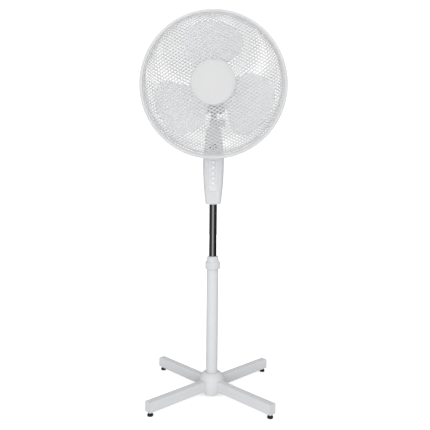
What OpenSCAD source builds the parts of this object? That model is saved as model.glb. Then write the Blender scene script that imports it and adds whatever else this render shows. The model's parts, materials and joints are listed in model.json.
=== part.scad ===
// Pedestal fan on a cross base, in millimetres.
// The origin is on the floor under the pole. +Z is up, the fan faces -Y.

/* [Stand] */
// Distance from the pole axis to the end of each leg
leg_reach = 264; // [250:1:290]
// Width of a leg tube
leg_width = 26; // [22:1:30]
// Height of a leg tube
leg_height = 32.5; // [28:0.5:34]
// Height of a rubber foot
foot_height = 13.5; // [11:0.5:17]
// Diameter of the white outer pole
outer_pole_d = 38; // [37:0.5:39]
// Height of the top of the outer pole
outer_pole_top = 412; // [400:1:420]

/* [Stem] */
// Diameter of the chrome inner pole
inner_pole_d = 24.5; // [23:0.5:24.5]
// Height of the lower edge of the control box
box_bottom = 626; // [622:1:627]
// Height of the uppermost push button
first_button_z = 759; // [757:0.5:761]
// Distance between two push buttons
button_pitch = 16.6; // [16.4:0.1:17]
// Diameter of a push button
button_d = 13; // [11:0.5:13.5]

/* [Head] */
// Height of the fan's axis
hub_z = 991; // [990:1:1000]
// Height of the tilt axis
tilt_z = 885; // [884.5:0.5:885.5]
// Diameter of the guard over its ring
guard_d = 440; // [430:2:450]
// Diameter over the blade tips
blade_d = 374; // [350:2:380]
// Pitch angle of the blades
blade_pitch = 17; // [12:1:18]
// Diameter of the round badge
badge_d = 128; // [120:2:140]
// Number of teeth on the crank gear
crank_teeth = 32; // [30:1:34]

/* [Hidden] */
$fn = 96;
plastic = "white";
steel = "silver";
// Clearance between pieces of one body, and between pieces that move past each other
snug = 0.1;
free = 0.3;
running = 0.05;

// Stand
tube_wall = 1.2;
cap_flange = 3;
cap_plug = 4;
cap_wall = 2;
leg_bottom = foot_height;
leg_top = leg_bottom + leg_height;
lap_z = leg_bottom + leg_height / 2;
foot_reach = leg_reach - 10;
foot_r = 9;
foot_stud_r = 2.5;
foot_stud = 5;
base_bolt_r = 5;
bolt_head_r = 9;
bolt_head = 5;
washer_r = 12;
washer = 1.5;
socket_r = 32;
outer_r = outer_pole_d / 2;
outer_wall = 1.5;
outer_bore_r = outer_r - outer_wall;
socket_flange = 4;
outer_pole_bottom = leg_top + socket_flange;
socket_top = outer_pole_bottom + 15;
cover_r = 43.8;
cover_bottom = 5.5;
cover_shoulder = 29;
cover_top = 69;
cover_wall = 2.2;
cover_neck_r = 21;

// Height lock
inner_r = inner_pole_d / 2;
sleeve_bottom = outer_pole_top - 44;
sleeve_flange_top = outer_pole_top + 2.5;
nipple_r = 16.5;
nipple_top = sleeve_flange_top + 16.5;
collet_top = nipple_top + 14;
collet_r = 16;
collet_tip_r = 13.5;
collet_slit = 1.5;
collar_bottom = outer_pole_top + 1;
collar_r = 24.2;
collar_top = outer_pole_top + 42;
flutes = 24;

// Stem: each slice of the control box is [height above its bottom, half width, front y, back y]
inner_wall = 1.2;
inner_pole_bottom = 250;
guide_plug = 20;
guide_head = 10;
inner_pole_top = box_bottom + 48;
guide_r = outer_bore_r - 0.4;
box_slices = [
    [0, 24, -26, 22],
    [3, 25, -28, 24],
    [34, 28.2, -32, 28],
    [57, 30.4, -33, 30],
    [86, 32.2, -33, 32],
    [131, 33.2, -33, 33],
    [159, 31.9, -33, 33],
    [180, 30.2, -30.5, 32],
    [215, 27, -26, 28],
    [240, 23.8, -22, 23.5],
    [244.5, 21, -19.5, 21]];
box_corner = 10;
box_wall = 2.6;
box_face = 33;
panel_half = 13.5;
panel_bottom = box_bottom + 42;
panel_top = box_bottom + 206;
panel_thick = 4;
panel_back = panel_thick - box_face;
panel_proud = 0.3;
sleeve_r = 16.5;
sleeve_drop = 2;
screw_x = 21;
screw_r = 1.5;
screw_head_r = 3;
screw_well_r = 3.4;
screw_seat_y = 18;
screw_heights = [box_bottom + 36, box_bottom + 188];
button_travel = 3.5;
button_front = -box_face - 4.8;
flange_front = panel_back + free;
flange_back = flange_front + 1.5;
switch_front = -21;
stem_r = 2;
lamp_z = first_button_z + 49;
lamp_width = 25;
lamp_height = 18;
gland_z = box_bottom + 26;
gland_r = 5;
gland_bore_r = 3.6;
gland_front = 18;
gland_back = 32;

// Tilt joint
ear_inner = 8.3;
ear_outer = 14;
ear_r = 11;
knob_r = 12.5;
knob_out = 36;
knob_washer_r = 8;
bolt_r = 4;
tongue_r = 10.7;
neck_r = 11;
screw_seat = 9.8;
neck_bottom = tilt_z + 12.5;
neck_top = tilt_z + 39;
lug_bottom = tilt_z + 32;
lug_top = tilt_z + 36;
arm_length = 16;
link_pin_r = 2.5;
pin_r = 6;
bush_r = 7.2;
case_bottom = tilt_z + 45;
swivel_screw_z = tilt_z + 20;
swivel_screw_r = 2;
swivel_head_r = 4.5;
pin_bottom = tilt_z + 15;

// Motor, along y from the front to the back
shaft_r = 4;
shaft_front = -134;
shaft_back = 32;
motor_r = 46;
motor_front = -50;
motor_seam = -22;
motor_back = 6;
stack_front = -34;
stack_back = -10;
stator_r = 43;
stator_bore = 22.4;
rotor_r = 22;
bush_outer = 7;
bush_length = 8;

// Gearbox
worm_r = 4.2;
crank_y = 38;
crank_r = 12.8;
gear_module = 1.1;
pinion_teeth = 8;
gear_distance = gear_module * (crank_teeth + pinion_teeth) / 2;
clutch_x = 14;
clutch_y = crank_y - sqrt(pow(gear_distance, 2) - pow(clutch_x, 2));
wheel_r = 9.5;
wheel_teeth = 20;
case_x0 = -26;
case_x1 = 30;
case_y0 = motor_back + 0.5;
case_y1 = 62;
case_top = hub_z + 15;
case_wall = 3;
flange_height = 14;
gear_z = case_bottom + case_wall + 1.5;
gear_thick = 6;
clutch_r = 2.5;
knob_rod_r = 2;
link_z = tilt_z + 40.5;
link_thick = 2;
crank_z = tilt_z + 42.9;
crank_thick = 1.8;
link_eye_r = 6;
open_eye_r = 3.7;

// Housing and guards
housing_r = 62;
housing_wall = 2.5;
housing_bottom = tilt_z + 34;
plate_front = -54;
nut_r = 36;
boss_r = 19.5;
swivel_hole_r = 24;
ring_y = -124;
ring_depth = 16;
ring_width = 9;
ring_wall = 3;
guard_r = guard_d / 2;
badge_r = badge_d / 2;
badge_front = -186;
badge_back = -181;
blade_r = blade_d / 2;
blade_y = -116;
blade_thick = 2.4;
hub_r = 38;
hub_front = -128;
hub_back = -88;
hub_wall = 3;
spinner_r = 17;
// Profiles of the guard sheets: [radius, y] from the middle to the rim
rear_path = [[20, -56], [58, -56], [76, -60], [120, -66], [165, -76], [190, -88],
    [204, -103], [209, -120.5], [216, -120.5]];
front_path = [[0, -179.5], [66, -179.5], [100, -177], [150, -170], [180, -162],
    [196, -151], [203.5, -138], [205.5, -127.5], [216, -127.5]];
sheet = 0.8;

// A point at a radius and an angle, and points along an arc
function polar(radius, angle) = [radius * cos(angle), radius * sin(angle)];
function shifted(path, step) = [for (p = path) p[0] == 0 ? [0, p[1] + step[1]] : p + step];
function reversed(path) = [for (i = [len(path) - 1:-1:0]) path[i]];

// Turn a shape that was drawn along z so that it lies along y through the fan's axis
module along_y() {
    translate([0, 0, hub_z]) rotate([-90, 0, 0]) children();
}

module axle(radius, y0, y1) {
    along_y() translate([0, 0, y0]) cylinder(r = radius, h = y1 - y0);
}

module upright(radius, z0, z1) {
    translate([0, 0, z0]) cylinder(r = radius, h = z1 - z0);
}

// A cylinder along x at the tilt axis
module crosswise(radius, x0, x1) {
    translate([x0, 0, tilt_z]) rotate([0, 90, 0]) cylinder(r = radius, h = x1 - x0);
}

module ring(outer, inner, z0, z1) {
    difference() {
        upright(outer, z0, z1);
        upright(inner, z0 - 1, z1 + 1);
    }
}

module rounded_rect(width, height, corner) {
    square([width - 2 * corner, height], center = true);
    square([width, height - 2 * corner], center = true);
    for (x = [-1, 1], y = [-1, 1])
        translate([x * (width / 2 - corner), y * (height / 2 - corner)]) circle(r = corner);
}

// A bar along x whose section is a rounded rectangle
module bar(x0, x1, width, height, corner) {
    translate([x0, 0, lap_z]) rotate([90, 0, 90])
        linear_extrude(height = x1 - x0) rounded_rect(width, height, corner);
}

// Grip flutes cut round a knob
module flutes(count, radius, cut, z0, z1) {
    for (i = [0:count - 1])
        rotate([0, 0, 360 * i / count]) translate([radius, 0, z0]) cylinder(r = cut, h = z1 - z0, $fn = 24);
}

// A spur gear with straight-sided teeth that leave a little backlash
module gear_outline(teeth, start) {
    pitch_r = gear_module * teeth / 2;
    root = pitch_r - 1.35 * gear_module;
    tip = pitch_r + 0.85 * gear_module;
    step = 360 / teeth;
    points = [for (i = [0:teeth - 1]) each [
        polar(root, start + step * (i - 0.30)),
        polar(pitch_r, start + step * (i - 0.20)),
        polar(tip, start + step * (i - 0.09)),
        polar(tip, start + step * (i + 0.09)),
        polar(pitch_r, start + step * (i + 0.20)),
        polar(root, start + step * (i + 0.30))]];
    polygon(points);
}

// Stand

module leg_tube(cut_z) {
    half = leg_reach - cap_flange;
    difference() {
        bar(-half, half, leg_width, leg_height, 2.5);
        bar(-half - 1, half + 1, leg_width - 2 * tube_wall, leg_height - 2 * tube_wall, 1);
        translate([-leg_width / 2 - snug, -leg_width, cut_z])
            cube([leg_width + 2 * snug, 2 * leg_width, leg_height]);
        upright(base_bolt_r + 0.2, leg_bottom - 1, leg_top + 1);
        for (side = [-1, 1])
            translate([side * foot_reach, 0, 0]) upright(foot_stud_r, leg_bottom - 1, lap_z);
    }
}

module cross_tube_lower() {
    color(plastic) rotate([0, 0, 45]) leg_tube(lap_z - snug);
}

module cross_tube_upper() {
    color(plastic) rotate([0, 0, -45]) leg_tube(lap_z + snug - leg_height);
}

// A plug with a flange as large as the tube
module end_cap(index) {
    seam = leg_reach - cap_flange;
    inner = leg_width - 2 * (tube_wall + snug);
    tall = leg_height - 2 * (tube_wall + snug);
    color(plastic) rotate([0, 0, 90 * index - 45]) {
        bar(seam, leg_reach, leg_width, leg_height, 2.5);
        difference() {
            bar(seam - cap_plug, seam, inner, tall, 1);
            bar(seam - cap_plug - 1, seam, inner - 2 * cap_wall, tall - 2 * cap_wall, 1);
        }
    }
}
module end_cap_1() { end_cap(1); }
module end_cap_2() { end_cap(2); }
module end_cap_3() { end_cap(3); }
module end_cap_4() { end_cap(4); }

module rubber_foot(index) {
    color("black") rotate([0, 0, 90 * index - 45]) translate([foot_reach, 0, 0]) {
        rotate_extrude() polygon([[0, 0], [foot_r - 1, 0], [foot_r, 1], [foot_r, 5],
            [foot_r - 2, 7], [foot_r - 2, foot_height], [0, foot_height]]);
        upright(foot_stud_r, foot_height, foot_height + foot_stud);
    }
}
module rubber_foot_1() { rubber_foot(1); }
module rubber_foot_2() { rubber_foot(2); }
module rubber_foot_3() { rubber_foot(3); }
module rubber_foot_4() { rubber_foot(4); }

module pole_socket() {
    color(plastic) difference() {
        union() {
            upright(socket_r, leg_top, outer_pole_bottom);
            upright(outer_bore_r - snug, outer_pole_bottom, socket_top);
        }
        upright(base_bolt_r, leg_top - 1, socket_top - 4);
    }
}

// The hexagon bolt that holds the cross together, and its washer
module base_fasteners() {
    head_bottom = leg_bottom - washer - bolt_head;
    color(steel) {
        upright(base_bolt_r, head_bottom, socket_top - 5);
        translate([0, 0, head_bottom]) cylinder(r = bolt_head_r, h = bolt_head, $fn = 6);
        ring(washer_r, base_bolt_r + 0.2, leg_bottom - washer + 0.02, leg_bottom);
    }
}

module base_cover() {
    dome = [for (t = [0:10:90])
        [cover_neck_r + (cover_r - cover_neck_r) * cos(t),
            cover_shoulder + (cover_top - cover_shoulder) * sin(t)]];
    outer = concat([[cover_r, cover_bottom]], dome, [[outer_r + snug, cover_top]]);
    color(plastic) difference() {
        rotate_extrude() polygon(concat(outer, [
            [outer_r + snug, cover_top - cover_wall]],
            reversed(shifted(dome, [-cover_wall, -cover_wall])),
            [[cover_r - cover_wall, cover_bottom]]));
        for (turn = [45, -45]) rotate([0, 0, turn])
            translate([-cover_r - 5, -leg_width / 2 - free, 0])
                cube([2 * cover_r + 10, leg_width + 2 * free, leg_top + free]);
    }
}

module outer_pole() {
    color(plastic) ring(outer_r, outer_bore_r, outer_pole_bottom, outer_pole_top);
}

// The plug with the threaded nipple in the top of the outer pole
module pole_sleeve() {
    color(plastic) difference() {
        union() {
            upright(outer_bore_r - snug, sleeve_bottom, outer_pole_top);
            upright(outer_r, outer_pole_top, sleeve_flange_top);
            upright(nipple_r, sleeve_flange_top, nipple_top);
        }
        upright(inner_r + running, sleeve_bottom - 1, nipple_top + 1);
    }
}

module grip_collet() {
    bore = inner_r + running;
    color("dimgray") difference() {
        rotate_extrude() polygon([[bore, nipple_top + snug], [collet_r, nipple_top + snug],
            [collet_r, nipple_top + 5], [collet_tip_r, collet_top], [bore, collet_top]]);
        translate([0, -collet_slit / 2, nipple_top - 1]) cube([20, collet_slit, 20]);
    }
}

module height_collar() {
    color(plastic) difference() {
        rotate_extrude() polygon([[outer_r + 0.4, collar_bottom], [collar_r - 0.8, collar_bottom],
            [collar_r, collar_bottom + 2], [collar_r, collar_bottom + 20],
            [collar_r - 0.8, collar_bottom + 22.5],
            [20, collar_bottom + 26], [17.4, collar_top], [inner_r + 0.4, collar_top],
            [inner_r + 0.4, collet_top + 1], [14.1, collet_top + 1], [nipple_r + 0.4, nipple_top + 3],
            [nipple_r + 0.4, sleeve_flange_top + 0.4], [outer_r + 0.4, sleeve_flange_top + 0.4]]);
        flutes(flutes, collar_r + 0.8, 1.5, collar_bottom + 3, collar_bottom + 19);
    }
}

// Stem

module inner_pole() {
    color(steel) ring(inner_r, inner_r - inner_wall, inner_pole_bottom, inner_pole_top);
}

module pole_guide() {
    color("dimgray") {
        upright(inner_r - inner_wall - snug, inner_pole_bottom, inner_pole_bottom + guide_plug);
        upright(guide_r, inner_pole_bottom - guide_head, inner_pole_bottom);
    }
}

// The control box as one solid, grown by a step on every side
module box_solid(step) {
    last = len(box_slices) - 1;
    corner = box_corner + step;
    hull() for (i = [0:last]) {
        slice = box_slices[i];
        rise = i == 0 ? -step : i == last ? step : 0;
        x = slice[1] + step - corner;
        for (place = [[x, slice[2] - step + corner], [-x, slice[2] - step + corner],
                [x, slice[3] + step - corner], [-x, slice[3] + step - corner]])
            translate([place[0], place[1], box_bottom + slice[0] + rise - (i == last ? 0.1 : 0)])
                cylinder(r = corner, h = 0.1, $fn = 28);
    }
}

// A rounded window looking along y
module window(half, z0, z1, y0, y1, corner) {
    translate([0, y1, (z0 + z1) / 2]) rotate([90, 0, 0])
        linear_extrude(height = y1 - y0) rounded_rect(2 * half, z1 - z0, corner);
}

// The slot in the top of the box that the fork's ears stand in
module ear_slot() {
    half = [ear_outer + free, ear_r + free];
    translate([-half[0], -half[1], tilt_z - 30]) cube([2 * half[0], 2 * half[1], 40]);
}

module screw_rods(radius, y0, y1) {
    for (x = [-screw_x, screw_x], z = screw_heights)
        translate([x, y0, z]) rotate([-90, 0, 0]) cylinder(r = radius, h = y1 - y0, $fn = 32);
}

module box_front() {
    color(plastic) difference() {
        intersection() {
            box_solid(0);
            union() {
                difference() {
                    translate([-50, -50, box_bottom - 1]) cube([100, 50 - snug / 2, 270]);
                    box_solid(-box_wall);
                }
                screw_rods(3.5, -40, -snug);
            }
        }
        window(panel_half + snug, panel_bottom - snug, panel_top + snug, -50, -15, 6);
        screw_rods(screw_r, -14, 1);
        upright(sleeve_r + snug, box_bottom - 5, box_bottom + 5);
        ear_slot();
    }
}

module box_back() {
    color(plastic) difference() {
        union() {
            intersection() {
                box_solid(0);
                union() {
                    difference() {
                        translate([-50, snug / 2, box_bottom - 1]) cube([100, 50, 270]);
                        box_solid(-box_wall);
                    }
                    screw_rods(4.5, snug, 40);
                    translate([-2, 12, box_bottom]) cube([4, 30, inner_pole_top - box_bottom - 2]);
                }
            }
            upright(sleeve_r, box_bottom - sleeve_drop, box_bottom + 2);
            upright(15, box_bottom + 1, inner_pole_top);
        }
        screw_rods(1.8, -1, 60);
        screw_rods(screw_well_r, screw_seat_y, 60);
        upright(inner_r + 0.02, box_bottom - 10, inner_pole_top + 1);
        ear_slot();
        translate([0, 10, gland_z]) rotate([-90, 0, 0]) cylinder(r = gland_r, h = 30);
    }
}

module lamp_outline(grow) {
    radius = lamp_height / 2 + grow;
    reach = (lamp_width - lamp_height) / 2;
    square([2 * reach, 2 * radius], center = true);
    for (side = [-1, 1]) translate([side * reach, 0]) circle(r = radius);
}

module lamp_cut(grow, y0, y1) {
    translate([0, y1, lamp_z]) rotate([90, 0, 0]) linear_extrude(height = y1 - y0) lamp_outline(grow);
}

// The long insert that carries the buttons and the lamp, with a flange behind the shell
module button_panel() {
    color(plastic) difference() {
        union() {
            intersection() {
                box_solid(panel_proud);
                window(panel_half, panel_bottom, panel_top, -50, -15, 6);
            }
            intersection() {
                box_solid(-box_wall - snug);
                window(panel_half + 3, panel_bottom - 3, panel_top + 3, -50, -15, 8);
            }
        }
        box_solid(-panel_thick);
        for (i = [0:4]) translate([0, -50, first_button_z - i * button_pitch])
            rotate([-90, 0, 0]) cylinder(r = button_d / 2 + free, h = 40);
        lamp_cut(snug, -50, 0);
    }
}

module push_button(index) {
    color("whitesmoke") translate([0, 0, first_button_z - (index - 1) * button_pitch]) rotate([-90, 0, 0]) {
        rotate_extrude() polygon([[0, button_front + 0.4], [button_d / 4, button_front],
            [button_d / 2 - 1, button_front + 0.3], [button_d / 2, button_front + 1.3],
            [button_d / 2, flange_front], [button_d / 2 + 0.9, flange_front],
            [button_d / 2 + 0.9, flange_back], [stem_r, flange_back],
            [stem_r, switch_front + 3], [0, switch_front + 3]]);
    }
}
module button_1() { push_button(1); }
module button_2() { push_button(2); }
module button_3() { push_button(3); }
module button_4() { push_button(4); }
module button_5() { push_button(5); }

// The press-button switch behind the panel, on two rails
module switch_block() {
    low = first_button_z - 4 * button_pitch - 9.5;
    tall = first_button_z + 9.5 - low;
    color("dimgray") difference() {
        union() {
            translate([-12, switch_front, low]) cube([24, 18, tall]);
            for (x = [-12, 9.5]) translate([x, panel_back, low])
                cube([2.5, switch_front - panel_back + 1, tall]);
        }
        for (i = [0:4]) translate([0, switch_front - 1, first_button_z - i * button_pitch])
            rotate([-90, 0, 0]) cylinder(r = stem_r + free, h = 3.5 + button_travel + 1);
    }
}

module lamp_lens() {
    color("gray") difference() {
        intersection() {
            box_solid(panel_proud + 1.1);
            lamp_cut(0, -50, -15);
        }
        box_solid(-panel_thick - 1.5);
    }
}

// Four screws that hold the two halves of the box together
module box_screws() {
    color(steel) {
        screw_rods(screw_r, -13, screw_seat_y);
        screw_rods(screw_head_r, screw_seat_y, screw_seat_y + 2);
    }
}

// The fork on top of the control box that the head tilts in
module tilt_yoke() {
    color(plastic) difference() {
        union() {
            intersection() {
                box_solid(-box_wall - snug);
                translate([-35, -35, tilt_z - 45]) cube([70, 70, 8]);
            }
            translate([-ear_outer, -ear_r, tilt_z - 38]) cube([2 * ear_outer, 2 * ear_r, 38]);
            crosswise(ear_r, -ear_outer, ear_outer);
        }
        translate([-ear_inner, -20, tilt_z - 12]) cube([2 * ear_inner, 40, 40]);
        crosswise(bolt_r + running, -ear_outer - 1, ear_outer + 1);
    }
}

// Where the mains cord would come out of the box
module cable_gland() {
    color("dimgray") translate([0, 0, gland_z]) rotate([-90, 0, 0])
        difference() {
            union() {
                upright(gland_r, gland_front, gland_back);
                upright(gland_r + 2.5, gland_back - 4, gland_back);
            }
            upright(gland_bore_r, gland_front - 1, gland_back + 1);
        }
}

// The clamping knob with its moulded-in stud
module tilt_knob() {
    color("whitesmoke") translate([0, 0, tilt_z]) rotate([0, 90, 0]) {
        upright(bolt_r, -ear_outer - 1, ear_outer + 2);
        upright(knob_washer_r, ear_outer + 0.5, ear_outer + 4);
        difference() {
            upright(knob_r, ear_outer + 4, knob_out);
            flutes(8, knob_r + 1.5, 3.4, ear_outer + 3, knob_out + 2);
        }
    }
}

// Neck

module neck_block() {
    color(plastic) difference() {
        union() {
            crosswise(tongue_r, -8, 8);
            translate([-8, -tongue_r, tilt_z]) cube([16, 2 * tongue_r, neck_bottom - tilt_z + 1]);
            upright(neck_r, neck_bottom, neck_top);
            translate([0, -5, lug_bottom]) cube([arm_length, 10, lug_top - lug_bottom]);
            translate([arm_length, 0, 0]) upright(5, lug_bottom, lug_top);
            translate([arm_length, 0, 0]) upright(link_pin_r, lug_top - 1, case_bottom - 1);
        }
        crosswise(bolt_r + running, -9, 9);
        upright(bush_r, pin_bottom, neck_top + 1);
        translate([0, -20, swivel_screw_z]) rotate([-90, 0, 0]) {
            cylinder(r = swivel_screw_r, h = 15);
            cylinder(r = swivel_head_r + 0.5, h = 20 - screw_seat);
        }
    }
}

module swivel_bush() {
    color("peru") difference() {
        ring(bush_r, pin_r + running, pin_bottom, case_bottom - free);
        translate([0, -20, swivel_screw_z]) rotate([-90, 0, 0]) cylinder(r = swivel_screw_r, h = 20);
    }
}

// The screw whose tip keeps the swivel pin from lifting out
module swivel_screw() {
    color(steel) translate([0, 0, swivel_screw_z]) rotate([-90, 0, 0]) {
        upright(swivel_screw_r, -screw_seat, -5.4);
        upright(swivel_head_r, -neck_r - 3.4, -screw_seat);
    }
}

// Head

module swivel_pin() {
    color(steel) difference() {
        upright(pin_r, pin_bottom + 0.5, case_bottom + flange_height);
        ring(pin_r + 1, 5, swivel_screw_z - 3, swivel_screw_z + 3);
    }
}

module gearbox_case() {
    color("lightgray") difference() {
        union() {
            translate([case_x0, case_y0, case_bottom])
                cube([case_x1 - case_x0, case_y1 - case_y0, case_top - case_bottom]);
            translate([-16, -16, case_bottom]) cube([32, case_y0 + 17, flange_height]);
        }
        translate([case_x0 + case_wall, case_y0 + case_wall, case_bottom + case_wall])
            cube([case_x1 - case_x0 - 2 * case_wall, case_y1, case_top - case_bottom - 2 * case_wall]);
        upright(pin_r, case_bottom - 1, case_bottom + 20);
        axle(9, case_y0 - 1, case_y0 + case_wall + 1);
        translate([0, crank_y, 0]) upright(shaft_r + running, case_bottom - 1, case_bottom + case_wall + 1);
        translate([clutch_x, clutch_y, 0]) {
            upright(clutch_r + running, case_bottom + 1, case_bottom + case_wall + 1);
            upright(knob_rod_r + free, case_top - case_wall - 1, case_top + 1);
        }
    }
}

module gearbox_lid() {
    color("lightgray") translate([case_x0, case_y1, case_bottom])
        cube([case_x1 - case_x0, 2.5, case_top - case_bottom]);
}

module stator_core() {
    color("gray") difference() {
        axle(stator_r, stack_front, stack_back);
        axle(stator_bore, stack_front - 1, stack_back + 1);
    }
}

// The copper windings at both ends of the stack
module stator_windings() {
    color("chocolate") for (span = [[stack_front - 9, stack_front], [stack_back, stack_back + 9]])
        difference() {
            axle(40, span[0], span[1]);
            axle(25, span[0] - 1, span[1] + 1);
        }
}

// One half of the motor's shell: y_end is the closed end, y_seam the open one
module motor_cup(y_end, y_seam) {
    inward = y_seam > y_end ? 1 : -1;
    floor_y = y_end + inward * 2.5;
    boss_y = y_end + inward * bush_length;
    difference() {
        union() {
            difference() {
                axle(motor_r, min(y_end, y_seam), max(y_end, y_seam));
                axle(stator_r, min(floor_y, y_seam + inward), max(floor_y, y_seam + inward));
            }
            axle(bush_outer + 4, min(y_end, boss_y), max(y_end, boss_y));
        }
        axle(bush_outer, min(y_end, boss_y) - 1, max(y_end, boss_y) + 1);
    }
}

module motor_front_cover() {
    color("lightgray") motor_cup(motor_front, motor_seam);
}

module motor_rear_cover() {
    color("lightgray") motor_cup(motor_back, motor_seam);
}

// Sintered bushes that the rotor shaft runs in
module shaft_bushes() {
    color("peru") for (y = [motor_front, motor_back - bush_length])
        difference() {
            axle(bush_outer, y, y + bush_length);
            axle(shaft_r + running, y - 1, y + bush_length + 1);
        }
}

module housing_solid(step) {
    radius = housing_r + step;
    hull() {
        axle(radius, motor_front + 0.1, 0, $fn = 48);
        axle(radius - 5, 49 + step, 50 + step, $fn = 48);
        axle(radius - 20, 77 + step, 78 + step, $fn = 48);
        for (x = [-28, 28], y = [-24, 60])
            translate([x, y, 0]) upright(10 + step, housing_bottom - step, case_bottom, $fn = 32);
    }
}

module housing_rear() {
    color(plastic) difference() {
        housing_solid(0);
        housing_solid(-housing_wall);
        axle(housing_r - housing_wall, motor_front - 1, motor_front + 3);
        upright(swivel_hole_r, housing_bottom - 2, housing_bottom + 8);
        translate([clutch_x, clutch_y, 0]) upright(4.4, hub_z + 40, hub_z + 80);
        for (i = [-3:3]) translate([i * 9 - 1.5, 70, hub_z - 22]) cube([3, 30, 44]);
    }
}

// The front plate of the motor, with the threaded boss for the guard nut
module housing_front() {
    color(plastic) difference() {
        union() {
            axle(housing_r, plate_front, motor_front);
            axle(boss_r, plate_front - 14, plate_front);
        }
        axle(9, plate_front - 15, motor_front + 1);
    }
}

module guard_nut() {
    color(plastic) along_y() difference() {
        upright(nut_r, plate_front - 13, rear_path[0][1] - 0.1);
        upright(boss_r, plate_front - 20, plate_front + 1);
        flutes(12, nut_r + 3, 5, plate_front - 14, plate_front);
    }
}

// A dished sheet that stands for the guard's mesh, with a flange for the ring
module dish(path, outward) {
    color(plastic) along_y() rotate_extrude()
        polygon(concat(path, reversed(shifted(path, outward))));
}

module rear_guard() {
    dish(rear_path, [sheet / 2, sheet]);
}

module front_guard() {
    dish(front_path, [sheet / 2, -sheet]);
}

module guard_ring() {
    color(plastic) along_y() rotate_extrude() polygon([
        [guard_r - ring_width, ring_y - ring_depth / 2], [guard_r - 2, ring_y - ring_depth / 2],
        [guard_r, ring_y - ring_depth / 2 + 2], [guard_r, ring_y + ring_depth / 2 - 2],
        [guard_r - 2, ring_y + ring_depth / 2], [guard_r - ring_width + 2, ring_y + ring_depth / 2],
        [guard_r - ring_width + 2, ring_y + ring_depth / 2 - ring_wall],
        [guard_r - ring_wall, ring_y + ring_depth / 2 - ring_wall],
        [guard_r - ring_wall, ring_y - ring_depth / 2 + ring_wall],
        [guard_r - ring_width, ring_y - ring_depth / 2 + ring_wall]]);
}

module badge() {
    color("whitesmoke") along_y() rotate_extrude() polygon([
        [0, badge_front], [0.6 * badge_r, badge_front + 0.5], [badge_r - 5, badge_front + 1.6],
        [badge_r - 1, badge_front + 3], [badge_r, badge_front + 4], [badge_r, badge_back], [0, badge_back]]);
}

// Rotor

module rotor_shaft() {
    color(steel) {
        axle(shaft_r, shaft_front, case_y0 + 5);
        axle(worm_r, case_y0 + 5, shaft_back);
    }
}

module rotor_core() {
    color("gray") difference() {
        axle(rotor_r, stack_front, stack_back);
        axle(shaft_r, stack_front - 1, stack_back + 1);
    }
}

// One blade, standing straight up, as seen from the front
module blade() {
    tip = [for (angle = [78:6:114]) polar(blade_r, angle)];
    outline = concat([[22, 30], [39, 69], [70, 96], [90, 124], [88, 142], [77, 157], [60, 173]],
        tip, [[-86, 158], [-90, 120], [-86, 68], [-62, 58], [-30, 25]]);
    stretched = [for (p = outline) [p[0] / cos(blade_pitch), p[1]]];
    translate([0, blade_y, hub_z]) rotate([0, 0, blade_pitch]) rotate([90, 0, 0])
        translate([0, 0, -blade_thick / 2]) linear_extrude(height = blade_thick) polygon(stretched);
}

module fan_blade() {
    color("whitesmoke") difference() {
        union() {
            difference() {
                union() {
                    axle(hub_r, hub_front, hub_back);
                    for (turn = [0, 120, 240]) translate([0, 0, hub_z]) rotate([0, turn, 0])
                        translate([0, 0, -hub_z]) blade();
                }
                axle(hub_r - hub_wall, hub_front + hub_wall, hub_back + 20);
            }
            axle(9, hub_front, hub_back - 4);
        }
        axle(shaft_r, hub_front - 1, hub_back + 1);
    }
}

// The nut that holds the blade on the shaft
module spinner() {
    color("whitesmoke") along_y() difference() {
        rotate_extrude() polygon([[0, hub_front - 9], [8, hub_front - 8.4], [14, hub_front - 6],
            [spinner_r, hub_front - 2], [spinner_r, hub_front], [0, hub_front]]);
        upright(shaft_r, shaft_front, hub_front + 1);
        flutes(10, spinner_r + 1.4, 2.4, hub_front - 12, hub_front + 1);
    }
}

// Oscillation drive

// The pull knob that stops and starts the swinging, on its rod
module oscillation_knob() {
    color(plastic) translate([clutch_x, clutch_y, 0]) {
        upright(knob_rod_r, hub_z + 13, hub_z + 31);
        upright(4, hub_z + 30, hub_z + 70);
        difference() {
            upright(9, hub_z + 70, hub_z + 82);
            flutes(12, 10.2, 1.8, hub_z + 69, hub_z + 80);
        }
    }
}

module worm_wheel() {
    step = 360 / wheel_teeth;
    outline = [for (i = [0:wheel_teeth - 1]) each [
        polar(wheel_r - 1.4, step * (i - 0.32)), polar(wheel_r, step * (i - 0.12)),
        polar(wheel_r, step * (i + 0.12)), polar(wheel_r - 1.4, step * (i + 0.32))]];
    color("ivory") translate([clutch_x, clutch_y, 0]) difference() {
        union() {
            translate([0, 0, hub_z - 2]) linear_extrude(height = 4) polygon(outline);
            upright(5, hub_z - 4, hub_z + 2);
        }
        upright(clutch_r + running, hub_z - 6, hub_z + 5);
    }
}

// The upright shaft with the pinion that turns the crank gear
module clutch_shaft() {
    toward = atan2(crank_y - clutch_y, -clutch_x);
    color("ivory") translate([clutch_x, clutch_y, 0]) {
        upright(clutch_r, case_bottom + 1.5, hub_z + 4);
        upright(3.2, gear_z - 0.5, hub_z - 4.5);
        translate([0, 0, gear_z]) linear_extrude(height = gear_thick) gear_outline(pinion_teeth, toward);
    }
}

// The large gear at the bottom of the gearbox, its shaft, and the crank under the case
module crank_gear() {
    toward = atan2(clutch_y - crank_y, clutch_x) + 180 / crank_teeth;
    color("ivory") translate([0, crank_y, 0]) {
        translate([0, 0, gear_z]) linear_extrude(height = gear_thick) gear_outline(crank_teeth, toward);
        upright(shaft_r, crank_z, gear_z + gear_thick + 4);
        translate([0, -4.5, crank_z]) cube([crank_r, 9, crank_thick]);
        upright(7, crank_z, crank_z + crank_thick);
        translate([crank_r, 0, 0]) {
            upright(4.5, crank_z, crank_z + crank_thick);
            upright(link_pin_r, link_z - 1, crank_z + 1);
        }
    }
}

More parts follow.
